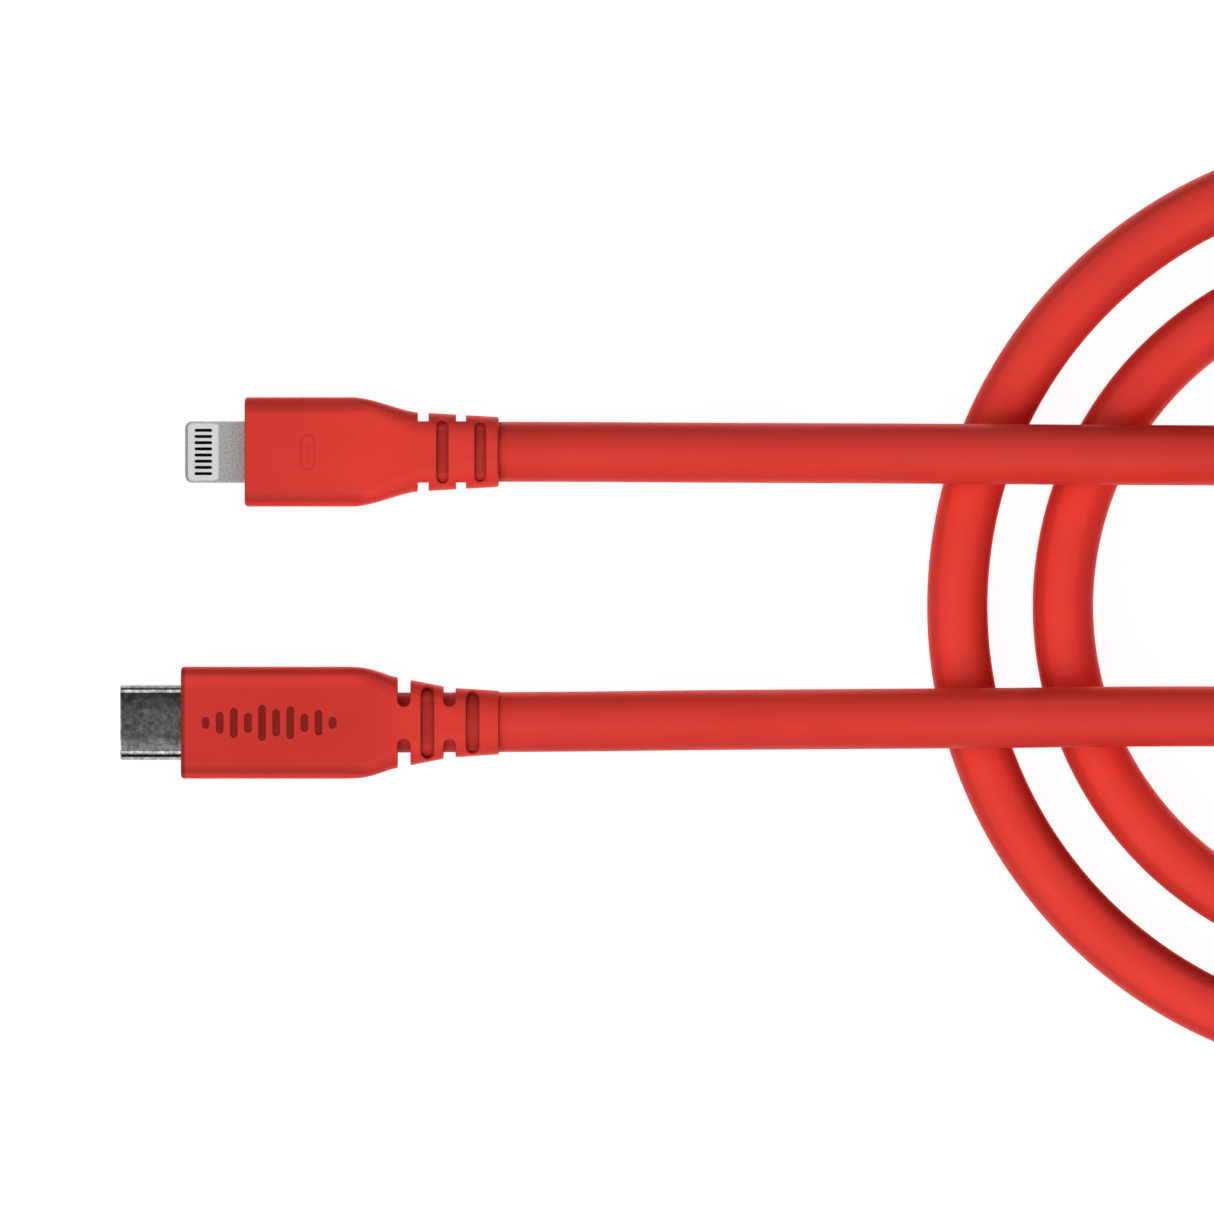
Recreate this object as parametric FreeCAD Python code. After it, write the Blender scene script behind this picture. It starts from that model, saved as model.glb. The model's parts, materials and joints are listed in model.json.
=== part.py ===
"""A USB-C to eight-contact tab plug cable, lying flat with its slack wound in an open coil.

Millimetres, +Z up. The origin is on the surface that the cable lies on, midway between the
two plugs. Both plugs point along -X and the coil lies on the +X side of them. Every piece is
a solid of its own in its own file. Inside each plug, pieces are placed from the plug's axis.
"""
import FreeCAD, Part
import math
import os

V = FreeCAD.Vector

# Cord
CORD_D = 6.6
CORD_R = CORD_D / 2
CORE_R = 2.6
WIRE_R = 0.45

# Both plugs
AXIS_Z = 3.8
HOUSING_H = 7.6
PLUG_END_X = 20.8
BORE_R = CORD_R + 0.02
SLOT_INNER_Z = 1.2
MOULD_H = 6.0
MOULD_R = 0.4
CAN_H = 4.8
CAN_WALL = 0.2
CRIMP_WALL = 0.3
WIRES = 4
WIRE_PAD_PITCH = 2.4
WIRE_CORE_PITCH = 1.1

# USB-C plug
USB_Y = -14.8
USB_TIP_X = -20.8
USB_FRONT_X = -14.1
USB_SHELL_W = 8.25
USB_SHELL_H = 2.4
USB_SHELL_WALL = 0.3
USB_SHELL_END_X = -9.6
SHELL_LIP_ROUND = 0.2
USB_CAVITY_W = 6.75
USB_CAVITY_H = 0.95
USB_CAVITY_END_X = -15.6
USB_INSULATOR_X = (-20.5, -13.6)
USB_PITCH = 0.5
USB_CONTACT_W = 0.22
USB_UPPER_POSITIONS = (1, 4, 5, 6, 7, 9, 12)
USB_LOWER_POSITIONS = (1, 4, 5, 9, 12)
USB_FINGERS = (-2.0, 2.0)
USB_BOARD_X = (-13.5, 0.4)
USB_BOARD_T = 0.8
USB_BOARD_STEP_X = -9.4
USB_CAN_X = (-10.6, 1.6)
USB_CAN_W = 9.2
USB_CRIMP_X = (1.6, 4.4)
USB_CORD_X = 6.0
USB_MOULD_X = (-10.6, 6.0)
USB_MOULD_W = 10.4
USB_MARK_X = (-11.8, 3.0)
USB_MARK_HEIGHTS = (1.3, 2.4, 3.3, 2.2, 4.0, 3.0, 3.6, 2.0, 2.8, 1.3)
USB_MARK_BAR_W = 0.85

# Tab plug
TAB_Y = 14.95
TAB_TIP_X = -13.7
TAB_FRONT_X = -7.1
TAB_W = 6.8
TAB_T = 1.5
TAB_TIP_R = 0.8
TAB_WINDOW_X = (-13.37, -9.97)
TAB_WINDOW_W = 6.32
TAB_WINDOW_R = 0.5
TAB_FLANGE_X = (-6.7, -5.6)
TAB_FLANGE_W = 8.8
TAB_FLANGE_T = 3.0
TAB_PITCH = 0.68
TAB_CONTACTS = 8
TAB_CONTACT_X = (-12.63, -10.7)
TAB_CONTACT_W = 0.34
TAB_BOARD_T = 0.6
TAB_BOARD_X = (-12.9, 1.2)
TAB_BOARD_NARROW_W = 5.6
TAB_BOARD_WIDE_W = 7.6
TAB_CAN_X = (-5.6, 2.2)
TAB_CAN_W = 9.0
TAB_CRIMP_X = (2.2, 5.4)
TAB_CORD_X = 6.0
TAB_MOULD_X = (-5.6, 6.0)
TAB_MOULD_W = 10.2
TAB_ICON_X = -0.14
TAB_ICON = (1.67, 4.05)
TAB_ICON_LINE = 0.22
TAB_ICON_DEPTH = 0.1

# Housings: (x, half width, half height, corner radius), from the front face to the cord
USB_BODY = ((-14.1, 6.15, 3.8, 1.5), (3.9, 6.15, 3.8, 1.5))
USB_TAPER = (
    (3.9, 6.15, 3.8, 1.5),
    (5.2, 6.11, 3.8, 1.55),
    (6.5, 5.92, 3.8, 1.7),
    (7.8, 5.54, 3.8, 2.0),
    (9.7, 4.98, 3.8, 2.5),
)
USB_RELIEF = ((9.7, 4.98, 3.8, 2.5), (15.4, 3.84, 3.7, 3.0), (20.8, 3.5, 3.6, 3.3))
TAB_BODY = ((-7.1, 6.0, 3.8, 1.5), (4.4, 6.0, 3.8, 1.5))
TAB_TAPER = (
    (4.4, 6.0, 3.8, 1.5),
    (5.6, 5.93, 3.8, 1.55),
    (6.8, 5.69, 3.8, 1.7),
    (8.2, 5.3, 3.8, 1.95),
    (9.7, 4.84, 3.8, 2.2),
    (11.9, 4.35, 3.8, 2.6),
)
TAB_RELIEF = ((11.9, 4.35, 3.8, 2.6), (20.8, 3.84, 3.75, 3.4))
FRONT_ROUND = 0.4
USB_END_ROUND = 0.12
TAB_END_ROUND = 0.28
SLOT_ROUND = 0.15
ON_SKIN = 0.002

# Strain reliefs: side notches (x start, x end, half width left on the face) and face slots
# (x middle, width, length)
USB_NOTCHES = ((9.7, 11.1, 1.8), (14.75, 16.05, 1.8))
USB_SLOTS = ((12.98, 1.4, 7.7), (17.94, 1.4, 6.5))
TAB_NOTCHES = ((11.9, 13.1, None), (16.1, 17.2, None))
TAB_SLOTS = ((14.63, 1.25, 6.8), (18.79, 1.2, 6.4))
# What the face slots stop at: (x, half width, half height, corner radius)
USB_SLOT_FLOOR = ((9.7, 4.5, 3.4, 2.2), (15.4, 3.46, 3.4, 2.75), (20.8, 3.4, 3.4, 3.3))
TAB_SLOT_FLOOR = ((11.9, 3.9, 3.4, 2.25), (20.8, 3.46, 3.4, 3.05))
NOTCH_FLOOR = 3.36
NOTCH_REACH = 10.0

# Coil: clockwise turns in two stacks, each two cords high, longer on the +X side
COIL_X = 119.97
COIL_Y = -1.98
COIL_IN_R = 37.2
COIL_OUT_R = 48.8
COIL_LONG = 10.0
COIL_SWELL = 2.6
COIL_H = 2 * CORD_D + 0.05
COIL_ROUND = 3.2

# The cord's routes outside the coil, as hand-placed points: from inside the tab plug to the
# innermost lower turn, and from the outer upper turn to inside the USB-C plug
TAB_ROUTE = (
    (6.0, 14.95, 3.8),
    (25.0, 15.0, 3.8),
    (44.0, 14.85, 6.6),
    (62.0, 14.75, 14.6),
    (76.0, 14.65, 17.0),
    (91.0, 14.55, 16.9),
    (108.0, 14.5, 14.4),
    (124.7, 14.5, 10.6),
    (135.8, 9.1, 8.0),
    (143.4, -0.7, 5.6),
    (146.0, -12.8, 4.1),
    (143.0, -24.8, 3.4),
    (135.0, -34.3, 3.3),
    (123.7, -39.3, 3.3),
    (110.3, -38.2, 3.3),
)
USB_ROUTE = (
    (118.0, 47.2, 9.95),
    (134.5, 44.9, 13.2),
    (145.8, 38.7, 16.2),
    (153.5, 27.8, 16.9),
    (155.8, 14.7, 16.8),
    (152.3, 1.8, 16.5),
    (143.7, -8.5, 16.3),
    (131.6, -14.1, 16.3),
    (108.0, -14.1, 16.4),
    (91.0, -14.05, 17.0),
    (76.0, -14.25, 17.3),
    (62.0, -14.35, 14.9),
    (44.0, -14.5, 6.6),
    (25.0, -14.75, 3.8),
    (6.0, -14.8, 3.8),
)
ARC_SHARE = 0.45


def box(x, y, z):
    """A block between two values on each axis."""
    return Part.makeBox(x[1] - x[0], y[1] - y[0], z[1] - z[0], V(x[0], y[0], z[0]))


def around(middle, width):
    """The two ends of a width about a middle."""
    return (middle - width / 2, middle + width / 2)


def section(x, y, half_w, half_h, r):
    """A rounded rectangle across X, as a closed wire about a plug's axis."""
    centres = [
        (half_w - r, half_h - r, 0),
        (r - half_w, half_h - r, 90),
        (r - half_w, r - half_h, 180),
        (half_w - r, r - half_h, 270),
    ]
    arcs = []
    for cy, cz, start in centres:
        points = []
        for turn in (0, 45, 90):
            a = math.radians(start + turn)
            points.append(V(x, y + cy + r * math.cos(a), AXIS_Z + cz + r * math.sin(a)))
        arcs.append(points)
    edges = []
    for k, points in enumerate(arcs):
        edges.append(Part.Arc(*points).toShape())
        after = arcs[(k + 1) % 4][0]
        if points[2].distanceToPoint(after) > 1e-6:
            edges.append(Part.LineSegment(points[2], after).toShape())
    return Part.Wire(edges)


def along_x(x, y, half_w, half_h, r):
    """A rounded bar along X between two values of x."""
    face = Part.Face(section(x[0], y, half_w, half_h, r))
    return face.extrude(V(x[1] - x[0], 0, 0))


def loft(y, stations):
    """A solid through rounded rectangles."""
    wires = [section(x, y, half_w, half_h, r) for x, half_w, half_h, r in stations]
    return Part.makeLoft(wires, True, False)


def plate(x, y, z, r):
    """A flat plate with upright corners of radius r."""
    solid = box(x, y, z)
    upright = [e for e in solid.Edges if abs(e.tangentAt(e.FirstParameter).z) > 0.9]
    return solid.makeFillet(r, upright)


def slot(x, y, width, length, z):
    """An upright prism with round ends, long across X."""
    return plate(around(x, width), around(y, length), z, width / 2 * 0.98)


def rod(start, end, r):
    """A round rod between two points."""
    way = end - start
    return Part.makeCylinder(r, way.Length, start, way)


def tube(x, y, outer, inner):
    """A round sleeve along a plug's axis."""
    start = V(x[0], y, AXIS_Z)
    way = V(1, 0, 0)
    sleeve = Part.makeCylinder(outer, x[1] - x[0], start, way)
    return sleeve.cut(Part.makeCylinder(inner, x[1] - x[0], start, way))


def can_half(x, y, width, upper, opening):
    """Half of a stamped shield can, with an opening in front and a round gap for the cord."""
    side = 1 if upper else -1
    outer_z = sorted((AXIS_Z, AXIS_Z + side * CAN_H / 2))
    inner_z = sorted((AXIS_Z - side, AXIS_Z + side * (CAN_H / 2 - CAN_WALL)))
    outer = box(x, around(y, width), outer_z)
    inner = box((x[0] + CAN_WALL, x[1] - CAN_WALL), around(y, width - 2 * CAN_WALL), inner_z)
    gap = Part.makeCylinder(CORE_R * 0.7, 2, V(x[1] - 1, y, AXIS_Z), V(1, 0, 0))
    return outer.cut([inner, gap, opening])


def inner_mould(x, y, width, can_x, can_w, crimp_x, cord_x):
    """The stiff block moulded round the can, the crimp and the end of the jacket."""
    block = plate(x, around(y, width), around(AXIS_Z, MOULD_H), MOULD_R)
    can = box((can_x[0] - 1, can_x[1]), around(y, can_w), around(AXIS_Z, CAN_H))
    crimp_r = CORE_R + CRIMP_WALL
    crimp = Part.makeCylinder(crimp_r, cord_x - crimp_x[0], V(crimp_x[0], y, AXIS_Z), V(1, 0, 0))
    return block.cut(can).cut(crimp)


def wires(pad_x, core_x, end_x, y, board_t):
    """Insulated wires from the cable's core, spreading to pads on both faces of the board."""
    group = []
    for k in range(WIRES):
        side = 1 if k % 2 == 0 else -1
        column = k // 2 - (WIRES // 2 - 1) / 2
        z = AXIS_Z + side * (board_t / 2 + WIRE_R)
        pad = V(pad_x, y + column * WIRE_PAD_PITCH, z)
        core = V(core_x, y + column * WIRE_CORE_PITCH, z)
        end = V(end_x, core.y, z)
        bend = Part.makeSphere(WIRE_R, core)
        group.append(rod(pad, core, WIRE_R).fuse([bend, rod(core, end, WIRE_R)]))
    return Part.makeCompound(group)


def side_notches(y, notches):
    """Notches from both sides of a strain relief: round-ended on the face, or straight."""
    cuts = []
    for start, end, face_half in notches:
        wall = NOTCH_FLOOR
        if face_half is not None:
            wall = face_half + (end - start) / 2
        for side in (1, -1):
            across = sorted((y + side * wall, y + side * NOTCH_REACH))
            cuts.append(box((start, end), across, (-1, HOUSING_H + 1)))
            if face_half is not None:
                middle = V((start + end) / 2, y + side * wall, -1)
                cuts.append(Part.makeCylinder((end - start) / 2, HOUSING_H + 2, middle))
    return cuts


def face_slots(y, slots, floor):
    """Slots in both faces of a strain relief, down to a floor that follows its outer form."""
    core = loft(y, floor)
    cuts = []
    for middle, width, length in slots:
        for z in ((AXIS_Z + SLOT_INNER_Z, HOUSING_H + 1), (-1, AXIS_Z - SLOT_INNER_Z)):
            cuts.append(slot(middle, y, width, length, z).cut(core))
    return cuts


def rim_at(solid, x):
    """The edges that lie in the plane at x."""
    return [e for e in solid.Edges if all(abs(v.X - x) < 1e-6 for v in e.Vertexes)]


def housing_skin(y, body, taper, relief, end_round):
    """The outer form of a housing, uncut, with both ends rounded."""
    x0, half_w, half_h, r = body[0]
    front = along_x((x0, body[1][0]), y, half_w, half_h, r)
    front = front.makeFillet(FRONT_ROUND, rim_at(front, x0))
    parts = [loft(y, taper)]
    for first, second in zip(relief, relief[1:]):
        parts.append(loft(y, (first, second)))
    parts[-1] = parts[-1].makeFillet(end_round, rim_at(parts[-1], relief[-1][0]))
    return front.fuse(parts).removeSplitter()


def middle_of(face):
    """The middle of a face's own surface."""
    u_low, u_high, v_low, v_high = face.ParameterRange
    return face.valueAt((u_low + u_high) / 2, (v_low + v_high) / 2)


def off_skin(point, skin, limit):
    """Whether a point is further than a limit from the outer form."""
    return Part.Vertex(point).distToShape(skin)[0] > limit


def soften(solid, skin, start_x):
    """Round every edge where a slot or notch behind start_x breaks the outer form."""
    rims = []
    for edge in solid.Edges:
        if edge.BoundBox.XMin < start_x:
            continue
        span = edge.LastParameter - edge.FirstParameter
        along = [edge.valueAt(edge.FirstParameter + span * t) for t in (0.1, 0.5, 0.9)]
        if any(off_skin(point, skin, ON_SKIN) for point in along):
            continue
        faces = solid.ancestorsOfType(edge, Part.Face)
        if any(off_skin(middle_of(face), skin, 10 * ON_SKIN) for face in faces):
            rims.append(edge)
    return solid.makeFillet(SLOT_ROUND, rims)


def housing(y, form, end_round, soft_cuts, sharp_cuts, hollow, bore_x):
    """A soft over-moulded housing that narrows into its slotted strain relief."""
    skin = housing_skin(y, *form, end_round)
    relief_x = form[-1][0][0]
    solid = soften(skin.cut(soft_cuts), skin.Shells[0], relief_x - 0.1)
    bore = Part.makeCylinder(BORE_R, PLUG_END_X - bore_x + 1, V(bore_x, y, AXIS_Z), V(1, 0, 0))
    return solid.cut(sharp_cuts + hollow + [bore])


def usb_c_shell():
    """Drawn steel shell, open at both ends, with its front edge rounded over."""
    x = (USB_TIP_X, USB_SHELL_END_X)
    outer = usb_c_shell_bar(x)
    outer = outer.makeFillet(SHELL_LIP_ROUND, rim_at(outer, x[0]))
    inner_w = USB_SHELL_W / 2 - USB_SHELL_WALL
    inner_h = USB_SHELL_H / 2 - USB_SHELL_WALL
    inner = along_x((x[0] - 1, x[1] + 1), USB_Y, inner_w, inner_h, inner_h * 0.98)
    return outer.cut(inner)


def usb_c_contact_y(position):
    """The place across the plug of a contact position from 1 to 12."""
    return USB_Y + (position - 6.5) * USB_PITCH


def usb_c_contact(position, side):
    """One sprung contact: a pad on the board, a beam in its slot and a raised touching bump."""
    outline = [
        (-12.1, 0.40),
        (-12.1, 0.52),
        (-13.9, 0.52),
        (-14.3, 0.64),
        (-20.1, 0.64),
        (-20.1, 0.52),
        (-19.6, 0.50),
        (-19.1, 0.36),
        (-18.7, 0.36),
        (-18.2, 0.50),
        (-14.2, 0.50),
        (-13.8, 0.40),
    ]
    y = usb_c_contact_y(position) - USB_CONTACT_W / 2
    points = [V(x, y, AXIS_Z + side * z) for x, z in outline]
    face = Part.Face(Part.makePolygon(points + points[:1]))
    return face.extrude(V(0, USB_CONTACT_W, 0))


def usb_c_contacts(positions, side):
    """One row of contacts."""
    return Part.makeCompound([usb_c_contact(p, side) for p in positions])


def usb_c_insulator():
    """Moulded body inside the shell, with the cavity that takes the socket's tongue."""
    half_w = USB_SHELL_W / 2 - USB_SHELL_WALL - 0.02
    half_h = USB_SHELL_H / 2 - USB_SHELL_WALL - 0.02
    body = along_x(USB_INSULATOR_X, USB_Y, half_w, half_h, half_h * 0.95)
    cavity_x = (USB_INSULATOR_X[0] - 1, USB_CAVITY_END_X)
    cuts = [box(cavity_x, around(USB_Y, USB_CAVITY_W), around(AXIS_Z, USB_CAVITY_H))]
    for side, positions in ((1, USB_UPPER_POSITIONS), (-1, USB_LOWER_POSITIONS)):
        slot_z = sorted((AXIS_Z + side * 0.36, AXIS_Z + side * 0.66))
        for position in positions:
            across = around(usb_c_contact_y(position), USB_CONTACT_W + 0.04)
            cuts.append(box((-20.2, -13.0), across, slot_z))
        recess_z = sorted((AXIS_Z + side * 0.78, AXIS_Z + side * 1.0))
        cuts.append(box((-20.3, -18.9), around(USB_Y, 5.6), recess_z))
        for y in USB_FINGERS:
            window_z = sorted((AXIS_Z + side * 0.3, AXIS_Z + side * 1.0))
            cuts.append(box((-20.3, -19.3), around(USB_Y + y, 0.36), window_z))
    board_x = (-14.4, -13.0)
    cuts.append(box(board_x, around(USB_Y, 6.3), around(AXIS_Z, 1.1)))
    cuts.append(box((-15.4, -13.0), around(USB_Y, 7.24), around(AXIS_Z, 0.2)))
    for side in (1, -1):
        arm = sorted((USB_Y + side * 3.37, USB_Y + side * 3.62))
        cuts.append(box((-20.0, -13.0), arm, around(AXIS_Z, 0.5)))
    return body.cut(cuts)


def usb_c_latch_spring():
    """Sprung steel fork: two side arms with hooks that grip the socket's tongue."""
    pieces = [box((-15.4, -14.6), around(USB_Y, 7.2), around(AXIS_Z, 0.18))]
    for side in (1, -1):
        arm = sorted((USB_Y + side * 3.4, USB_Y + side * 3.6))
        hook = sorted((USB_Y + side * 3.1, USB_Y + side * 3.6))
        pieces.append(box((-19.6, -14.6), arm, around(AXIS_Z, 0.46)))
        pieces.append(box((-19.4, -19.0), hook, around(AXIS_Z, 0.46)))
    return pieces[0].fuse(pieces[1:]).removeSplitter()


def usb_c_ground_spring(side):
    """Thin plate under the shell with two fingers that reach into the cavity."""
    plate_z = sorted((AXIS_Z + side * 0.79, AXIS_Z + side * 0.87))
    finger_z = sorted((AXIS_Z + side * 0.4, AXIS_Z + side * 0.87))
    body = box((-20.25, -18.95), around(USB_Y, 5.5), plate_z)
    fingers = [box((-20.1, -19.9), around(USB_Y + y, 0.3), finger_z) for y in USB_FINGERS]
    return body.fuse(fingers).removeSplitter()


def usb_c_board():
    """Circuit board that joins the contacts to the cable's wires, wider inside the can."""
    thick = around(AXIS_Z, USB_BOARD_T)
    neck = box((USB_BOARD_X[0], USB_BOARD_STEP_X), around(USB_Y, 6.2), thick)
    wide = box((USB_BOARD_STEP_X, USB_BOARD_X[1]), around(USB_Y, 8.2), thick)
    return neck.fuse(wide).removeSplitter()


def usb_c_board_parts():
    """The termination resistor, two capacitors and a marker chip on the board's upper face."""
    top = AXIS_Z + USB_BOARD_T / 2
    places = ((-7.6, -2.4, 1.0, 0.5, 0.35), (-7.6, 0.0, 1.0, 0.5, 0.35), (-7.6, 2.4, 1.0, 0.5, 0.5))
    parts = []
    for x, y, length, width, height in places:
        parts.append(box(around(x, length), around(USB_Y + y, width), (top, top + height)))
    parts.append(box(around(-4.6, 2.0), around(USB_Y, 2.0), (top, top + 0.6)))
    return Part.makeCompound(parts)


def usb_c_shell_bar(x):
    """The shell's outline as a bar, for the holes that the shell passes through."""
    half_h = USB_SHELL_H / 2
    return along_x(x, USB_Y, USB_SHELL_W / 2, half_h, half_h * 0.98)


def usb_c_can(upper):
    """One half of the can that grips the rear of the shell."""
    opening = usb_c_shell_bar((USB_CAN_X[0] - 1, USB_CAN_X[0] + 1))
    return can_half(USB_CAN_X, USB_Y, USB_CAN_W, upper, opening)


def usb_c_inner_mould():
    """Stiff plastic block round the board's can and the crimped braid."""
    crimp, cord = USB_CRIMP_X, USB_CORD_X
    return inner_mould(USB_MOULD_X, USB_Y, USB_MOULD_W, USB_CAN_X, USB_CAN_W, crimp, cord)


def usb_c_mark_bars(bottom, top):
    """A plain row of upright bars in the housing's upper face."""
    count = len(USB_MARK_HEIGHTS)
    pitch = (USB_MARK_X[1] - USB_MARK_X[0] - USB_MARK_BAR_W) / (count - 1)
    bars = []
    for k, height in enumerate(USB_MARK_HEIGHTS):
        x = USB_MARK_X[0] + USB_MARK_BAR_W / 2 + k * pitch
        bars.append(slot(x, USB_Y, USB_MARK_BAR_W, height, (bottom, top)))
    return bars


def usb_c_mark():
    """Darker inlays, one for each bar, a little below the face."""
    return Part.makeCompound(usb_c_mark_bars(HOUSING_H - 0.25, HOUSING_H - 0.08))


def usb_c_housing():
    """Housing of the USB-C plug."""
    hollow = [
        usb_c_shell_bar((USB_FRONT_X - 1, USB_MOULD_X[0] + 1)),
        plate(USB_MOULD_X, around(USB_Y, USB_MOULD_W), around(AXIS_Z, MOULD_H), MOULD_R),
    ]
    form = (USB_BODY, USB_TAPER, USB_RELIEF)
    slots = face_slots(USB_Y, USB_SLOTS, USB_SLOT_FLOOR)
    cuts = side_notches(USB_Y, USB_NOTCHES) + slots
    solid = housing(USB_Y, form, USB_END_ROUND, cuts, [], hollow, USB_CORD_X)
    return solid.cut(usb_c_mark_bars(HOUSING_H - 0.25, HOUSING_H + 1))


def tab_outline(x, width, r, thick):
    """The blade's slab with both tip corners rounded."""
    slab = box(x, around(TAB_Y, width), around(AXIS_Z, thick))
    corners = []
    for e in slab.Edges:
        upright = abs(e.tangentAt(e.FirstParameter).z) > 0.9
        if upright and abs(e.Vertexes[0].X - x[0]) < 1e-6:
            corners.append(e)
    return slab.makeFillet(r, corners)


def tab_window():
    """The opening through the blade that the contacts sit in."""
    thick = around(AXIS_Z, TAB_T + 2)
    return plate(TAB_WINDOW_X, around(TAB_Y, TAB_WINDOW_W), thick, TAB_WINDOW_R)


def tab_blade():
    """Metal blade with a window near its tip, a slot for the board and a rear flange."""
    blade = tab_outline((TAB_TIP_X, TAB_FLANGE_X[0]), TAB_W, TAB_TIP_R, TAB_T)
    rim = [e for e in blade.Edges if e.BoundBox.XMax < TAB_FLANGE_X[0] - 0.1]
    rim = [e for e in rim if e.BoundBox.ZLength < 1e-6]
    blade = blade.makeFillet(0.15, rim)
    flange_y = around(TAB_Y, TAB_FLANGE_W)
    flange = box(TAB_FLANGE_X, flange_y, around(AXIS_Z, TAB_FLANGE_T))
    board_y = around(TAB_Y, TAB_BOARD_NARROW_W + 0.1)
    board = box((TAB_WINDOW_X[1] - 0.5, 0), board_y, around(AXIS_Z, TAB_BOARD_T + 0.1))
    return blade.fuse(flange).removeSplitter().cut([tab_window(), board])


def tab_contact_y(k):
    """The place across the blade of contact k, from 0 to 7."""
    return TAB_Y + (k - (TAB_CONTACTS - 1) / 2) * TAB_PITCH


def tab_contacts(side):
    """One row of flat contacts with round ends, level with the blade's face."""
    z = sorted((AXIS_Z + side * TAB_BOARD_T / 2, AXIS_Z + side * TAB_T / 2))
    row = []
    for k in range(TAB_CONTACTS):
        y = around(tab_contact_y(k), TAB_CONTACT_W)
        row.append(plate(TAB_CONTACT_X, y, z, TAB_CONTACT_W / 2 * 0.98))
    return row


def tab_contact_carrier():
    """Moulded filling of the window, round the contacts and the end of the board."""
    clear = 0.01
    x = (TAB_WINDOW_X[0] + clear, TAB_WINDOW_X[1] - clear)
    y = around(TAB_Y, TAB_WINDOW_W - 2 * clear)
    block = plate(x, y, around(AXIS_Z, TAB_T), TAB_WINDOW_R - clear)
    board_y = around(TAB_Y, TAB_BOARD_NARROW_W)
    board = box((TAB_BOARD_X[0], x[1] + 1), board_y, around(AXIS_Z, TAB_BOARD_T))
    return block.cut([board] + tab_contacts(1) + tab_contacts(-1))


def tab_board():
    """Circuit board: narrow inside the blade, wide inside the can."""
    thick = around(AXIS_Z, TAB_BOARD_T)
    step_x = TAB_CAN_X[0] + 0.4
    neck = box((TAB_BOARD_X[0], step_x), around(TAB_Y, TAB_BOARD_NARROW_W), thick)
    wide = box((step_x, TAB_BOARD_X[1]), around(TAB_Y, TAB_BOARD_WIDE_W), thick)
    return neck.fuse(wide).removeSplitter()


def tab_chip(x, size, side, height):
    """A flat chip on one face of the board."""
    z = sorted((AXIS_Z + side * TAB_BOARD_T / 2, AXIS_Z + side * (TAB_BOARD_T / 2 + height)))
    return box(around(x, size), around(TAB_Y, size), z)


def tab_board_parts():
    """Four small capacitors and resistors beside the chip."""
    top = AXIS_Z + TAB_BOARD_T / 2
    parts = []
    for x in (-4.3, -2.3):
        for y in (-2.9, 2.9):
            parts.append(box(around(x, 1.0), around(TAB_Y + y, 0.5), (top, top + 0.45)))
    return Part.makeCompound(parts)


def tab_can(upper):
    """One half of the can behind the blade, round the board."""
    neck_y = around(TAB_Y, TAB_BOARD_NARROW_W)
    opening = box((TAB_CAN_X[0] - 1, TAB_CAN_X[0] + 0.5), neck_y, around(AXIS_Z, TAB_BOARD_T))
    return can_half(TAB_CAN_X, TAB_Y, TAB_CAN_W, upper, opening)


def tab_inner_mould():
    """Stiff plastic block round the board's can and the crimped braid."""
    crimp, cord = TAB_CRIMP_X, TAB_CORD_X
    return inner_mould(TAB_MOULD_X, TAB_Y, TAB_MOULD_W, TAB_CAN_X, TAB_CAN_W, crimp, cord)


def tab_icon():
    """A shallow pill outline with a line in it, sunk into the upper face."""
    z = (HOUSING_H - TAB_ICON_DEPTH, HOUSING_H + 1)
    width, length = TAB_ICON
    inset = 2 * TAB_ICON_LINE
    outer = slot(TAB_ICON_X, TAB_Y, width, length, z)
    inner = slot(TAB_ICON_X, TAB_Y, width - inset, length - inset, z)
    line = slot(TAB_ICON_X, TAB_Y, TAB_ICON_LINE, length * 0.55, z)
    return [outer.cut(inner), line]


def tab_housing():
    """Housing of the tab plug."""
    hollow = [
        box((TAB_FRONT_X - 1, TAB_FLANGE_X[0]), around(TAB_Y, TAB_W), around(AXIS_Z, TAB_T)),
        box(TAB_FLANGE_X, around(TAB_Y, TAB_FLANGE_W), around(AXIS_Z, TAB_FLANGE_T)),
        plate(TAB_MOULD_X, around(TAB_Y, TAB_MOULD_W), around(AXIS_Z, MOULD_H), MOULD_R),
    ]
    form = (TAB_BODY, TAB_TAPER, TAB_RELIEF)
    slots = face_slots(TAB_Y, TAB_SLOTS, TAB_SLOT_FLOOR)
    notches = side_notches(TAB_Y, TAB_NOTCHES)
    solid = housing(TAB_Y, form, TAB_END_ROUND, slots, notches, hollow, TAB_CORD_X)
    return solid.cut(tab_icon())


def racetrack(r, straight):
    """Two half circles joined by straights along X: the first about the coil's middle."""
    left = V(COIL_X, COIL_Y, 0)
    right = V(COIL_X + straight, COIL_Y, 0)
    up = V(0, r, 0)
    out = V(r, 0, 0)
    edges = [
        Part.Arc(left + up, left - out, left - up).toShape(),
        Part.LineSegment(left - up, right - up).toShape(),
        Part.Arc(right - up, right + out, right + up).toShape(),
        Part.LineSegment(right + up, left + up).toShape(),
    ]
    return Part.Face(Part.Wire(edges))


def cord_coil():
    """The outer shape of the wound turns: a rounded flat ring."""
    outer = racetrack(COIL_OUT_R + CORD_R, COIL_LONG + COIL_SWELL)
    inner = racetrack(COIL_IN_R - CORD_R, COIL_LONG)
    ring = outer.cut(inner).extrude(V(0, 0, COIL_H))
    rims = [e for e in ring.Edges if e.BoundBox.ZLength < 1e-6]
    return ring.makeFillet(COIL_ROUND, rims)


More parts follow.
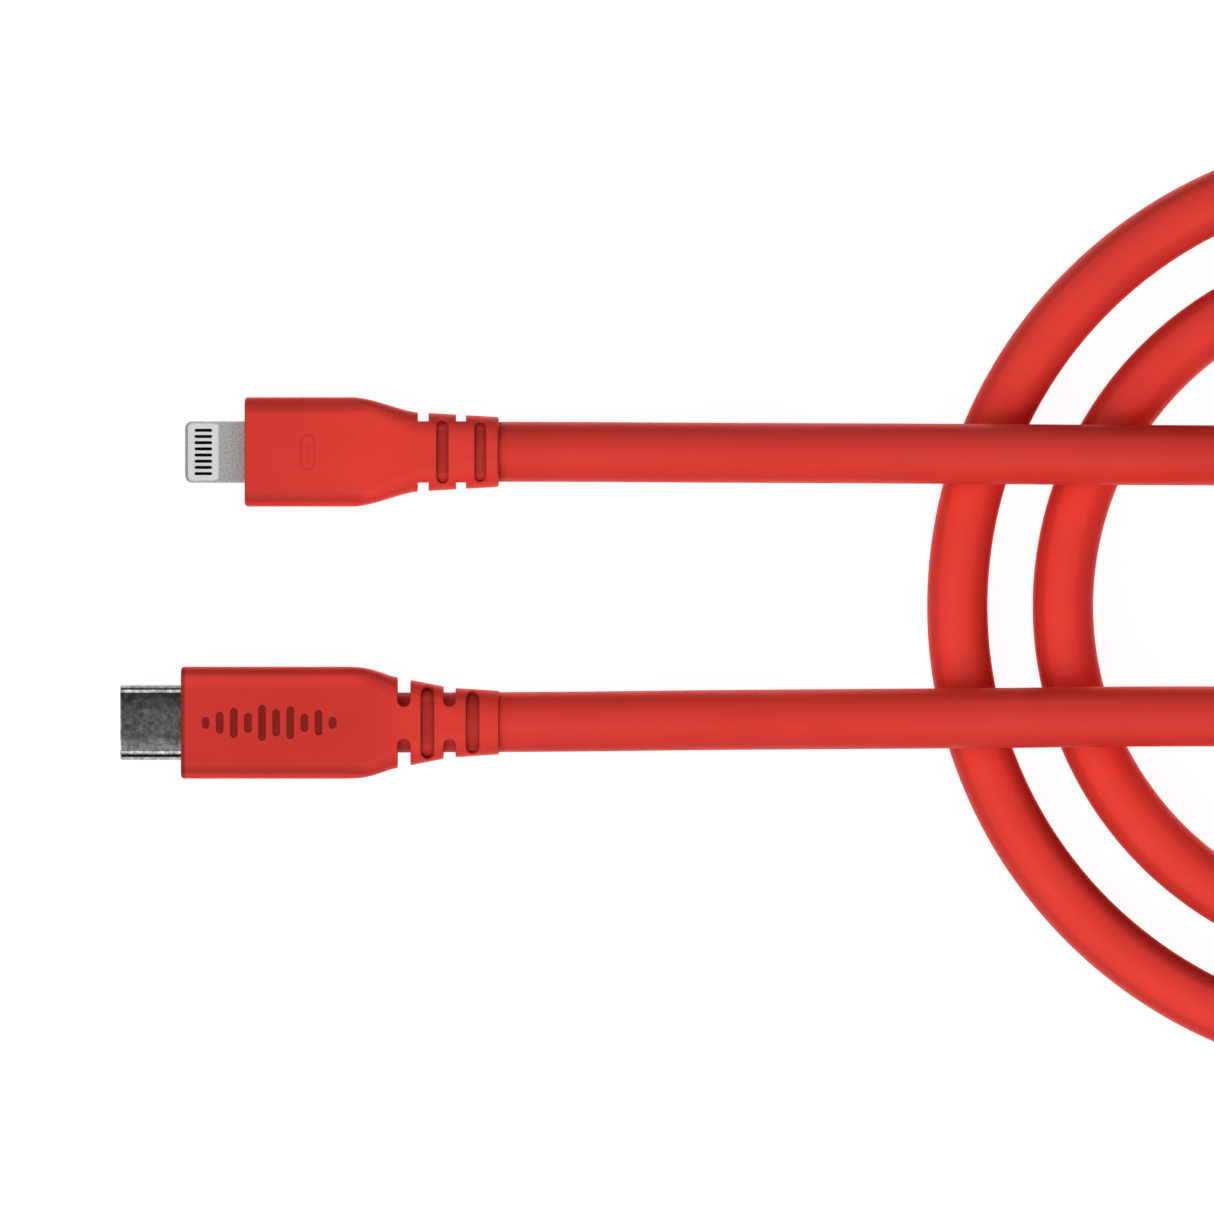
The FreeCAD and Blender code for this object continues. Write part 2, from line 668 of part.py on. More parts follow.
def route_wire(points, name):
    """Straight runs joined by tangent arcs; the radii are printed and the length returned."""
    points = [V(*p) for p in points]
    edges = []
    radii = []
    last = points[0]
    for before, corner, after in zip(points, points[1:], points[2:]):
        back = before - corner
        on = after - corner
        turn = math.pi - back.getAngle(on)
        cut = ARC_SHARE * min(back.Length, on.Length)
        radius = cut / math.tan(turn / 2)
        radii.append(radius)
        back.normalize()
        on.normalize()
        start = corner + back * cut
        end = corner + on * cut
        middle = back + on
        middle.normalize()
        depth = radius / math.cos(turn / 2) - radius
        edges.append(Part.LineSegment(last, start).toShape())
        edges.append(Part.Arc(start, corner + middle * depth, end).toShape())
        last = end
    edges.append(Part.LineSegment(last, points[-1]).toShape())
    wire = Part.Wire(edges)
    print(name, "radii:", [round(r, 1) for r in radii], "length:", round(wire.Length, 1))
    return wire


def cord_tube(points, name, ring):
    """A plain tube along a route, trimmed where it meets the coil."""
    wire = route_wire(points, name)
    start = V(*points[0])
    way = V(*points[1]) - start
    profile = Part.Wire(Part.makeCircle(CORD_R, start, way))
    swept = wire.makePipeShell([profile], True, False)
    share = swept.Volume / (math.pi * CORD_R**2 * wire.Length)
    print(name, "volume over section times length:", round(share, 4))
    pieces = swept.cut(ring).Solids
    return max(pieces, key=lambda s: s.Volume)


def save(name, shape):
    """Write one sub-part and print whether it is sound."""
    if not shape.isValid():
        print("not valid:", name)
    print(name, len(shape.Solids), "solids,", round(shape.Volume, 2), "mm3")
    shape.exportStep("parts/" + name + ".step")


def main():
    os.makedirs("parts", exist_ok=True)

    save("usb_c_shell", usb_c_shell())
    save("usb_c_insulator", usb_c_insulator())
    save("usb_c_contacts_upper", usb_c_contacts(USB_UPPER_POSITIONS, 1))
    save("usb_c_contacts_lower", usb_c_contacts(USB_LOWER_POSITIONS, -1))
    save("usb_c_latch_spring", usb_c_latch_spring())
    save("usb_c_ground_spring_upper", usb_c_ground_spring(1))
    save("usb_c_ground_spring_lower", usb_c_ground_spring(-1))
    save("usb_c_board", usb_c_board())
    save("usb_c_board_parts", usb_c_board_parts())
    save("usb_c_can_upper", usb_c_can(True))
    save("usb_c_can_lower", usb_c_can(False))
    save("usb_c_crimp_ring", tube(USB_CRIMP_X, USB_Y, CORE_R + CRIMP_WALL, CORE_R))
    save("usb_c_braid", tube((USB_CRIMP_X[0], USB_CORD_X), USB_Y, CORE_R, CORE_R * 0.7))
    save("usb_c_wires", wires(-1.2, USB_CRIMP_X[0], USB_CORD_X, USB_Y, USB_BOARD_T))
    save("usb_c_inner_mould", usb_c_inner_mould())
    save("usb_c_housing", usb_c_housing())
    save("usb_c_mark", usb_c_mark())

    save("tab_blade", tab_blade())
    save("tab_contact_carrier", tab_contact_carrier())
    save("tab_contacts_upper", Part.makeCompound(tab_contacts(1)))
    save("tab_contacts_lower", Part.makeCompound(tab_contacts(-1)))
    save("tab_board", tab_board())
    save("tab_controller", tab_chip(-3.3, 2.4, 1, 0.7))
    save("tab_power_chip", tab_chip(-3.3, 1.6, -1, 0.6))
    save("tab_board_parts", tab_board_parts())
    save("tab_can_upper", tab_can(True))
    save("tab_can_lower", tab_can(False))
    save("tab_crimp_ring", tube(TAB_CRIMP_X, TAB_Y, CORE_R + CRIMP_WALL, CORE_R))
    save("tab_braid", tube((TAB_CRIMP_X[0], TAB_CORD_X), TAB_Y, CORE_R, CORE_R * 0.7))
    save("tab_wires", wires(-0.4, TAB_CRIMP_X[0], TAB_CORD_X, TAB_Y, TAB_BOARD_T))
    save("tab_inner_mould", tab_inner_mould())
    save("tab_housing", tab_housing())

    ring = cord_coil()
    save("cord_coil", ring)
    save("cord_tab_end", cord_tube(TAB_ROUTE, "cord_tab_end", ring))
    save("cord_usb_end", cord_tube(USB_ROUTE, "cord_usb_end", ring))


main()
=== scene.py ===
import json
import math

import bpy
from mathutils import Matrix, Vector


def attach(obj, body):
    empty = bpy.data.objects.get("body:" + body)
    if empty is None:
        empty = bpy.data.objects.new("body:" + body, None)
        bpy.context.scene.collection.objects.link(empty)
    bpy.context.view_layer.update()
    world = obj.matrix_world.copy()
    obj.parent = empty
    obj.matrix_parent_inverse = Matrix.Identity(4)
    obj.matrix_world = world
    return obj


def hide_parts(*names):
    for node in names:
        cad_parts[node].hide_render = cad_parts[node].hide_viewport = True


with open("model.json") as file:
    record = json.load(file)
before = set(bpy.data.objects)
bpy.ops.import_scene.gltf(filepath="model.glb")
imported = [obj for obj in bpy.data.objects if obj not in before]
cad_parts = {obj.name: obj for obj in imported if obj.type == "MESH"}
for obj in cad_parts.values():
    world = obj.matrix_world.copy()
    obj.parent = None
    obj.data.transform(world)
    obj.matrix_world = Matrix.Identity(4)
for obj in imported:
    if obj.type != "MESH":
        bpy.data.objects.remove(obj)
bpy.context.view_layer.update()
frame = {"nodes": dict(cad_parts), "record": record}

MM = 0.001
scene = bpy.context.scene
nodes = frame["nodes"]

# ---------------------------------------------------------------- camera

# The middle and the width of the picture, in millimetres, at the height FOCUS_Z
FRAME_X, FRAME_Y, FRAME_W = 32.7, -2.09, 133.4
FOCUS_Z = 5.0
LENS, SENSOR = 1000.0, 36.0

camera_data = bpy.data.cameras.new("camera")
camera_data.lens = LENS
camera_data.sensor_width = SENSOR
camera_data.clip_start = 0.1
camera_data.clip_end = 40.0
camera = bpy.data.objects.new("camera", camera_data)
scene.collection.objects.link(camera)
camera.location = (FRAME_X * MM, FRAME_Y * MM, (FOCUS_Z + FRAME_W * LENS / SENSOR) * MM)
camera.rotation_euler = (0.0, 0.0, 0.0)
scene.camera = camera

# ---------------------------------------------------------------- cord
# The route's points are those of part.py, in millimetres, but for the first one outside each
# plug, which is lower: it keeps the spline level inside the strain reliefs.

CORD_D = 6.6
COIL_X, COIL_Y = 119.97, -1.98
COIL_IN_R, COIL_OUT_R = 37.2, 48.8
COIL_LONG, COIL_SWELL = 10.0, 2.6
LAYER_LOW, LAYER_HIGH = 3.3, 9.95

# The coil's turns, in degrees clockwise from +X: its ends, and where it changes
COIL_START, COIL_END, COIL_STEP = 105, 1350, 15
CLIMB_IN, CLIMB_OUT = (376, 432), (1008, 1062)
MOVE_OUT, DROP = (680, 766), (692, 770)
SWELL_START, SWELL_SPAN = 1018, 154
LONG_SIDE, LONG_SPAN = 105, 40

TAB_ROUTE = (
    (6.0, 14.95, 3.8), (25.0, 15.0, 3.5), (44.0, 14.85, 6.6), (62.0, 14.75, 14.6),
    (76.0, 14.65, 17.0), (91.0, 14.55, 16.9), (108.0, 14.5, 14.4), (124.7, 14.5, 10.6),
    (135.8, 9.1, 8.0), (143.4, -0.7, 5.6), (146.0, -12.8, 4.1), (143.0, -24.8, 3.4),
    (135.0, -34.3, 3.3), (123.7, -39.3, 3.3),
)
USB_ROUTE = (
    (134.5, 44.9, 13.2), (145.8, 38.7, 16.2), (153.5, 27.8, 16.9), (155.8, 14.7, 16.8),
    (152.3, 1.8, 16.5), (143.7, -8.5, 16.3), (131.6, -14.1, 16.3), (108.0, -14.1, 16.4),
    (91.0, -14.05, 17.0), (76.0, -14.25, 17.3), (62.0, -14.35, 14.9), (44.0, -14.5, 6.6),
    (25.0, -14.75, 3.5), (6.0, -14.8, 3.8),
)


def ease(t):
    """0 to 1 in two equal curved halves."""
    t = min(1.0, max(0.0, t))
    return 2 * t * t if t < 0.5 else 1 - 2 * (1 - t) ** 2


def ramp(turn, start, end):
    """0 to 1 while the turn goes from start to end."""
    return ease((turn - start) / (end - start))


def coil_point(turn):
    """A point of the coil, at this many degrees clockwise from +X, counted over its four turns."""
    layer = ramp(turn, *CLIMB_IN) - ramp(turn, *DROP) + ramp(turn, *CLIMB_OUT)
    swell = min(1.0, max(0.0, (turn - SWELL_START) / SWELL_SPAN))
    radius = COIL_IN_R + (COIL_OUT_R - COIL_IN_R) * ramp(turn, *MOVE_OUT)
    radius += COIL_SWELL * math.sin(math.pi * swell) ** 2
    side = (turn + 180) % 360 - 180
    long = COIL_LONG * ease((LONG_SIDE - abs(side)) / LONG_SPAN)
    reach = radius / math.cos(math.radians(COIL_STEP / 2))
    a = math.radians(turn)
    return (
        COIL_X + reach * math.cos(a) + long, COIL_Y - reach * math.sin(a),
        LAYER_LOW + (LAYER_HIGH - LAYER_LOW) * layer)


route = list(TAB_ROUTE)
route += [coil_point(turn) for turn in range(COIL_START, COIL_END + 1, COIL_STEP)]
route += list(USB_ROUTE)

curve = bpy.data.curves.new("cord", "CURVE")
curve.dimensions = "3D"
spline = curve.splines.new("NURBS")
spline.points.add(len(route) - 1)
for point, (x, y, z) in zip(spline.points, route):
    point.co = (x * MM, y * MM, z * MM, 1.0)
    point.radius = CORD_D / 2 * MM
spline.order_u = 3
spline.use_endpoint_u = True
spline.resolution_u = 10
curve.bevel_depth = 1.0
curve.bevel_resolution = 14
curve.use_fill_caps = True
cord = bpy.data.objects.new("cord", curve)
scene.collection.objects.link(cord)
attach(cord, "root")
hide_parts("cord_tab_end", "cord_coil", "cord_usb_end")

# ---------------------------------------------------------------- materials
# Places, sizes and reliefs are in millimetres of the object, and a shade is a factor.

BASE_COLOR, ROUGHNESS = "Base Color", "Roughness"
NOISE_LOW, NOISE_HIGH = 0.3, 0.7


class Paint:
    """A node material with object coordinates in millimetres."""

    def __init__(self, name):
        self.material = bpy.data.materials.new(name)
        self.material.use_nodes = True
        self.tree = self.material.node_tree
        self.shader = self.tree.nodes["Principled BSDF"]
        coordinates = self.tree.nodes.new("ShaderNodeTexCoord")
        scale = self.tree.nodes.new("ShaderNodeVectorMath")
        scale.operation = "SCALE"
        scale.inputs["Scale"].default_value = 1 / MM
        self.tree.links.new(coordinates.outputs["Object"], scale.inputs[0])
        self.place = scale.outputs["Vector"]

    def set(self, **values):
        """Constants for the shader's sockets."""
        for key, value in values.items():
            socket = self.shader.inputs[key.replace("_", " ")]
            if hasattr(socket.default_value, "__len__") and len(value) == 3:
                value = (*value, 1.0)
            socket.default_value = value

    def to(self, socket, value):
        """A link from a value to a socket of the shader."""
        self.tree.links.new(value, self.shader.inputs[socket])

    def noise(self, scale, detail=3.0, rough=0.5, stretch=None):
        """Noise that is mostly between NOISE_LOW and NOISE_HIGH."""
        place = self.place
        if stretch:
            mapping = self.tree.nodes.new("ShaderNodeMapping")
            mapping.inputs["Scale"].default_value = stretch
            self.tree.links.new(place, mapping.inputs["Vector"])
            place = mapping.outputs["Vector"]
        noise = self.tree.nodes.new("ShaderNodeTexNoise")
        noise.inputs["Scale"].default_value = scale
        noise.inputs["Detail"].default_value = detail
        noise.inputs["Roughness"].default_value = rough
        self.tree.links.new(place, noise.inputs["Vector"])
        return noise.outputs["Fac"]

    def bump(self, value, strength, depth):
        """Relief on the surface, by a value."""
        node = self.tree.nodes.new("ShaderNodeBump")
        node.inputs["Strength"].default_value = strength
        node.inputs["Distance"].default_value = depth * MM
        self.tree.links.new(value, node.inputs["Height"])
        self.to("Normal", node.outputs["Normal"])

    def steps(self, value, *stops):
        """A colour ramp over a value: stops are (position, colour)."""
        ramp_node = self.tree.nodes.new("ShaderNodeValToRGB")
        elements = ramp_node.color_ramp.elements
        while len(elements) < len(stops):
            elements.new(0.5)
        for element, (position, colour) in zip(elements, stops):
            element.position = position
            element.color = (*colour, 1.0)
        self.tree.links.new(value, ramp_node.inputs["Fac"])
        return ramp_node.outputs["Color"]

    def blend(self, noise, low, high):
        """A colour between two, by a noise."""
        return self.steps(noise, (NOISE_LOW, low), (NOISE_HIGH, high))

    def span(self, value, start, end, low, high, smooth=True):
        """From low to high while a value goes from start to end."""
        node = self.tree.nodes.new("ShaderNodeMapRange")
        node.interpolation_type = "SMOOTHSTEP" if smooth else "LINEAR"
        node.inputs["From Min"].default_value = start
        node.inputs["From Max"].default_value = end
        node.inputs["To Min"].default_value = low
        node.inputs["To Max"].default_value = high
        self.tree.links.new(value, node.inputs["Value"])
        return node.outputs["Result"]

    def vary(self, noise, low, high):
        """A number between two, by a noise."""
        return self.span(noise, NOISE_LOW, NOISE_HIGH, low, high, smooth=False)

    def combine(self, operation, first, second=None):
        """The result of an operation on a value, and on a second value or number."""
        node = self.tree.nodes.new("ShaderNodeMath")
        node.operation = operation
        self.tree.links.new(first, node.inputs[0])
        if isinstance(second, float):
            node.inputs[1].default_value = second
        elif second is not None:
            self.tree.links.new(second, node.inputs[1])
        return node.outputs["Value"]

    def along(self, axis):
        """The place along X, Y or Z, or for R the distance from the coil's upright axis."""
        if axis != "R":
            split = self.tree.nodes.new("ShaderNodeSeparateXYZ")
            self.tree.links.new(self.place, split.inputs["Vector"])
            return split.outputs[axis]
        flat = self.tree.nodes.new("ShaderNodeVectorMath")
        flat.operation = "MULTIPLY"
        flat.inputs[1].default_value = (1.0, 1.0, 0.0)
        self.tree.links.new(self.place, flat.inputs[0])
        distance = self.tree.nodes.new("ShaderNodeVectorMath")
        distance.operation = "DISTANCE"
        distance.inputs[1].default_value = (COIL_X, COIL_Y, 0.0)
        self.tree.links.new(flat.outputs["Vector"], distance.inputs[0])
        return distance.outputs["Value"]

    def shade(self, colour, amount):
        """A colour made darker or lighter by a factor."""
        node = self.tree.nodes.new("ShaderNodeVectorMath")
        node.operation = "SCALE"
        self.tree.links.new(colour, node.inputs[0])
        self.tree.links.new(amount, node.inputs["Scale"])
        return node.outputs["Vector"]

    def fade(self, start, end, low, high, axis="X"):
        """A shade that goes from low to high between two places along an axis."""
        return self.span(self.along(axis), start, end, low, high)

    def spot(self, shade, *limits):
        """A shade inside a block and 1 outside it. Each limit is an axis, the middle, half the
        block's size and half the width of its soft edge."""
        inside = None
        for axis, middle, half, soft in limits:
            away = self.combine("ABSOLUTE", self.combine("SUBTRACT", self.along(axis), middle))
            edge = self.span(away, half - soft, half + soft, 1.0, 0.0)
            inside = edge if inside is None else self.combine("MULTIPLY", inside, edge)
        return self.span(inside, 0.0, 1.0, 1.0, shade)

    def painted_crevice_shade(self, reach, deepest):
        """Painted shade: 1 in the open, falling to a deepest shade where surfaces close in within
        a reach.
        """
        open_sky = self.tree.nodes.new("ShaderNodeAmbientOcclusion")
        open_sky.samples = 8
        open_sky.inputs["Distance"].default_value = reach * MM
        node = self.tree.nodes.new("ShaderNodeMapRange")
        node.inputs["From Min"].default_value = CREVICE_OPEN[0]
        node.inputs["From Max"].default_value = CREVICE_OPEN[1]
        self.tree.links.new(deepest, node.inputs["To Min"])
        self.tree.links.new(open_sky.outputs["AO"], node.inputs["Value"])
        return node.outputs["Result"]


def grey(v):
    """A grey colour."""
    return (v, v, v)


RED_DARK, RED_LIGHT = (0.71, 0.042, 0.030), (0.75, 0.0455, 0.033)
RED_SHEEN = (1.0, 0.06, 0.045)
INLAY_DARK, INLAY_LIGHT = (0.22, 0.0125, 0.010), (0.26, 0.015, 0.012)
# How open a surface is where it has the deepest painted shade of its crevices, and where it has
# none
CREVICE_OPEN = (0.80, 0.99)
# The deepest painted shade in crevices: two places along X and the shade at each
CREVICE_SHADE = (4.0, 10.0, 0.88, 0.60)
# How far off a surface still counts as closing in for the painted shade in crevices, for the cord
# and for the housings
CORD_CREVICE, HOUSING_CREVICE = 1.2, 1.6


def fine_grain(paint):
    """The fine relief of the moulded red."""
    paint.bump(paint.noise(9.0, rough=0.6), 0.10, 0.03)


def red_elastomer(name, reach, fades, spots):
    """Matt red elastomer with painted shade in its crevices. Each fade gives two places along X
    and the shade that the piece has at each. Each spot gives a shade and the block that has it.
    The fades and spots paint light and shade into the red."""
    paint = Paint(name)
    colour = paint.blend(paint.noise(0.12, 2.0), RED_DARK, RED_LIGHT)
    for fade in fades:
        colour = paint.shade(colour, paint.fade(*fade))
    for spot in spots:
        colour = paint.shade(colour, paint.spot(*spot))
    # Painted shade in crevices, from ambient occlusion
    colour = paint.shade(colour, paint.painted_crevice_shade(reach, paint.fade(*CREVICE_SHADE)))
    paint.to(BASE_COLOR, colour)
    paint.to(ROUGHNESS, paint.vary(paint.noise(0.5, 4.0), 0.44, 0.52))
    paint.set(Specular_IOR_Level=0.08)
    paint.set(Sheen_Weight=0.56, Sheen_Roughness=0.25, Sheen_Tint=RED_SHEEN)
    fine_grain(paint)
    return paint.material


def dark_inlay():
    """The darker red of the row of bars."""
    paint = Paint("dark_inlay")
    paint.to(BASE_COLOR, paint.blend(paint.noise(1.5), INLAY_DARK, INLAY_LIGHT))
    paint.to(ROUGHNESS, paint.vary(paint.noise(3.0, 4.0), 0.45, 0.55))
    paint.set(Specular_IOR_Level=0.06)
    fine_grain(paint)
    return paint.material


# The plugs' middle lines and front faces, and the blade's tip, as in part.py
USB_Y, TAB_Y = -14.8, 14.95
USB_FRONT_X, TAB_FRONT_X, TAB_TIP_X = -14.1, -7.1, -13.7

# Painted light: the coil's turns are a little lighter than the stretches that lie over them
COIL_PAINTED_LIGHT = (1.13, ("X", 125.0, 60.0, 3.0), ("Z", 4.0, 10.0, 1.2))
COIL_LEFT, COIL_LAYERS = ("X", 70.0, 50.0, 20.0), ("Z", 6.0, 7.4, 0.2)


def painted_coil_shade(shade, near, far, soft, *limits):
    """A line of painted shade with soft edges along the turns of the coil's left half, between two
    distances from its axis."""
    ring = ("R", (near + far) / 2, (far - near) / 2, soft)
    return (shade, ring, COIL_LEFT, COIL_LAYERS, *limits)


# Painted shade along the edges of the coil's turns
COIL_EDGE_SHADE = (
    painted_coil_shade(0.84, 50.95, 51.75, 0.35),
    painted_coil_shade(0.80, 39.3, 40.45, 0.4),
    painted_coil_shade(0.88, 44.5, 47.2, 0.6),
    painted_coil_shade(0.88, 33.0, 35.9, 0.6),
    painted_coil_shade(0.76, 44.5, 46.8, 0.6, ("Y", -45.0, 25.0, 12.0)),
)

# The painted shade of the slot floors
SLOT_SHADE = 0.68


def painted_slot_shade(x, y, half, reach=2.35):
    """Painted shade on the floor of a face slot, lighter again at the slot's ends."""
    return (SLOT_SHADE, ("X", x, half, 0.06), ("Y", y, reach, 0.15))


# A housing's upper face, up to where the housing starts to narrow
STRAIGHT, UPPER_FACE = ("X", -7.0, 13.0, 1.5), ("Z", 7.6, 1.7, 0.4)
BAND_HALF = 1.5


def painted_edge_light(y, bands):
    """The painted light and shade along the long edges of a housing's upper face. Each band is a
    shade, the place of its inner edge beside the middle line, and half the width of that soft
    edge."""
    painted_bands = []
    for shade, edge, soft in bands:
        middle = y + edge + math.copysign(BAND_HALF, edge)
        painted_bands.append((shade, STRAIGHT, ("Y", middle, BAND_HALF, soft), UPPER_FACE))
    return painted_bands


# A line of painted shade with a painted highlight on the rim outside it, along each long edge
USB_EDGE_LIGHT = (
    (1.18, 4.2, 0.6), (0.78, 5.2, 0.25), (1.5, 5.78, 0.22), (0.72, -4.8, 0.4), (1.8, -5.6, 0.25),
)
TAB_EDGE_LIGHT = ((0.75, 4.4, 0.6), (1.75, 5.48, 0.32), (0.73, -4.6, 0.5), (1.5, -5.5, 0.25))


def usb_housing_red():
    """The USB-C housing's red, with painted shade at its front edge and painted light from its
    taper on.
    """
    # Painted shade along the front edge and painted light over the taper
    front = (USB_FRONT_X + 0.3, USB_FRONT_X + 0.6, 0.56, 1.0)
    taper = (5.0, 12.0, 0.88, 1.06)
    slots = (painted_slot_shade(12.98, USB_Y, 0.7), painted_slot_shade(17.94, USB_Y, 0.7, 2.8))
    spots = (*slots, *painted_edge_light(USB_Y, USB_EDGE_LIGHT))
    return red_elastomer("red_usb_housing", HOUSING_CREVICE, (front, taper), spots)


def tab_housing_red():
    """The tab housing's red, with painted shade at its front edge and painted light towards the
    cord.
    """
    # Painted shade along the front edge and painted light towards the cord
    front = (TAB_FRONT_X - 0.05, TAB_FRONT_X + 0.25, 0.78, 1.0)
    taper = (-6.0, 9.0, 0.97, 1.10)
    slots = (painted_slot_shade(14.63, TAB_Y, 0.625), painted_slot_shade(18.79, TAB_Y, 0.6))
    spots = (*slots, *painted_edge_light(TAB_Y, TAB_EDGE_LIGHT))
    return red_elastomer("red_tab_housing", HOUSING_CREVICE, (front, taper), spots)


# The polished shell's painted reflections across its width, bright and dark bands: two places
# beside its middle line and the shade at each
SHELL_PAINTED_REFLECTIONS = (
    (-3.9, -3.7, 1.16, 1.0), (-3.4, -3.15, 0.5, 1.0), (-3.2, -2.8, 0.74, 1.0),
    (-2.8, -1.4, 2.5, 1.0), (0.9, 3.2, 0.95, 0.40), (3.25, 3.45, 1.0, 2.9),
    (3.6, 3.72, 1.0, 0.50), (3.88, 3.98, 1.0, 1.5),
)


def shell_steel():
    """Polished steel with cloudy patches and painted reflection bands across its width."""
    paint = Paint("shell_steel")
    paint.set(Metallic=1.0)
    blotch = paint.noise(1.5, 6.0, 0.70)
    colour = paint.steps(blotch, (0.36, grey(0.20)), (0.50, grey(0.37)), (0.64, grey(0.62)))
    for start, end, low, high in SHELL_PAINTED_REFLECTIONS:
        colour = paint.shade(colour, paint.fade(USB_Y + start, USB_Y + end, low, high, "Y"))
    paint.to(BASE_COLOR, colour)
    paint.to(ROUGHNESS, paint.vary(paint.noise(1.6, 5.0, 0.6), 0.10, 0.15))
    paint.bump(paint.noise(2.2, 5.0, 0.6), 0.12, 0.01)
    return paint.material


def blasted_metal():
    """The tab blade's speckled matt metal, with painted shade at its tip."""
    paint = Paint("blasted_metal")
    paint.set(Metallic=1.0)
    speck = paint.noise(5.5, 4.0, 0.7)
    colour = paint.steps(speck, (0.38, grey(0.60)), (0.52, grey(0.86)), (0.62, grey(0.99)))
    # Painted shade at the blade's tip
    tip = paint.fade(TAB_TIP_X + 0.3, TAB_TIP_X + 1.1, 0.76, 1.0)
    paint.to(BASE_COLOR, paint.shade(colour, tip))
    paint.to(ROUGHNESS, paint.vary(paint.noise(4.0), 0.42, 0.55))
    paint.bump(speck, 0.25, 0.012)
    return paint.material


def plain_metal(name, low, high, rough, drawn=(1, 1, 1)):
    """Metal between two colours, with streaks where it's drawn."""
    paint = Paint(name)
    paint.set(Metallic=1.0)
    streak = paint.noise(3.0, 5.0, 0.6, stretch=drawn)
    paint.to(BASE_COLOR, paint.blend(streak, low, high))
    paint.to(ROUGHNESS, paint.vary(paint.noise(2.0, 4.0), rough - 0.06, rough + 0.06))
    paint.bump(streak, 0.10, 0.01)
    return paint.material


def moulded(name, low, high, rough):
    """Plain plastic between two colours."""
    paint = Paint(name)
    paint.to(BASE_COLOR, paint.blend(paint.noise(0.8), low, high))
    paint.to(ROUGHNESS, paint.vary(paint.noise(2.0, 4.0), rough - 0.05, rough + 0.05))
    paint.bump(paint.noise(6.0), 0.12, 0.01)
    return paint.material


materials = {
    "red_jacket": red_elastomer("red_cord", CORD_CREVICE, (), (COIL_PAINTED_LIGHT, *COIL_EDGE_SHADE)),
    "dark_red_inlay": dark_inlay(),
    "usb_shell_steel": shell_steel(),
    "black_plastic": moulded("black_plastic", grey(0.012), grey(0.02), 0.45),
    "gold_contact": plain_metal("gold_contact", (0.80, 0.55, 0.20), (0.88, 0.64, 0.28), 0.22),
    "spring_steel": plain_metal("spring_steel", grey(0.52), grey(0.64), 0.25, (1, 6, 6)),
    "can_steel": plain_metal("can_steel", grey(0.48), grey(0.60), 0.32, (1, 4, 4)),
    "board_green": moulded("board_green", (0.01, 0.10, 0.04), (0.016, 0.14, 0.06), 0.32),
    "chip_black": moulded("chip_black", grey(0.015), grey(0.03), 0.5),
    "braid_copper": plain_metal(
        "braid_copper", (0.6, 0.56, 0.5), (0.7, 0.66, 0.6), 0.35, (1, 5, 5)),
    "wire_insulation": moulded("wire_insulation", grey(0.68), grey(0.78), 0.4),
    "inner_mould": moulded("inner_mould", (0.70, 0.68, 0.60), (0.78, 0.76, 0.68), 0.5),
    "tab_metal": blasted_metal(),
    "grey_carrier": moulded("grey_carrier", grey(0.70), grey(0.73), 0.36),
    "black_contact": plain_metal("black_contact", grey(0.004), grey(0.008), 0.30),
}
# The housings have the cord's slot, and each has its own painted light and shade
housing_reds = {"usb_c_housing": usb_housing_red(), "tab_housing": tab_housing_red()}

for entry in frame["record"]["subparts"]:
    surface = nodes[entry["node"]].data.materials
    surface.clear()
    surface.append(housing_reds.get(entry["node"], materials[entry["material_slot"]]))
cord.data.materials.append(materials["red_jacket"])

# ---------------------------------------------------------------- stage and light

# Half the floor's side and how far it lies under the object, in metres
FLOOR_HALF, FLOOR_DROP = 18.0, 0.02 * MM
FLOOR_CORNERS = ((-1, -1), (1, -1), (1, 1), (-1, 1))
FLOOR_GLOW = 0.95

floor_mesh = bpy.data.meshes.new("floor")
floor_mesh.from_pydata(
    [(x * FLOOR_HALF, y * FLOOR_HALF, 0) for x, y in FLOOR_CORNERS], [], [(0, 1, 2, 3)])
floor = bpy.data.objects.new("floor", floor_mesh)
floor.location.z = -FLOOR_DROP
scene.collection.objects.link(floor)
floor.visible_diffuse = False
floor.visible_shadow = False
floor_paint = Paint("floor_paper")
floor_paint.set(Roughness=0.9, Base_Color=grey(0.12), Specular_IOR_Level=0.0)
floor_paint.set(Emission_Color=grey(1.0), Emission_Strength=FLOOR_GLOW)
floor_mesh.materials.append(floor_paint.material)

# The room's light: what surfaces get from below the horizon and from above it, and what metal
# mirrors towards the room's two ends, along X. The camera itself sees plain white.
LIGHT_BELOW, LIGHT_ABOVE = 0.10, 0.02
END_WALL = 0.6

world = bpy.data.worlds.new("studio")
scene.world = world
world.use_nodes = True
air = world.node_tree
backdrop = air.nodes["Background"]
backdrop.inputs["Color"].default_value = (1.0, 1.0, 1.0, 1.0)
direction = air.nodes.new("ShaderNodeTexCoord")
look = air.nodes.new("ShaderNodeSeparateXYZ")
air.links.new(direction.outputs["Generated"], look.inputs["Vector"])


def room(value, start, end, low, high):
    """A light level that goes from low to high while a value goes from start to end."""
    node = air.nodes.new("ShaderNodeMapRange")
    node.inputs["From Min"].default_value = start
    node.inputs["From Max"].default_value = end
    node.inputs["To Min"].default_value = low
    node.inputs["To Max"].default_value = high
    air.links.new(value, node.inputs["Value"])
    return node.outputs["Result"]


def either(question, no, yes=None):
    """The light level for a no or a yes, with full light for a yes that isn't given."""
    node = air.nodes.new("ShaderNodeMix")
    air.links.new(question, node.inputs["Factor"])
    air.links.new(no, node.inputs["A"])
    if yes is None:
        node.inputs["B"].default_value = 1.0
    else:
        air.links.new(yes, node.inputs["B"])
    return node.outputs["Result"]


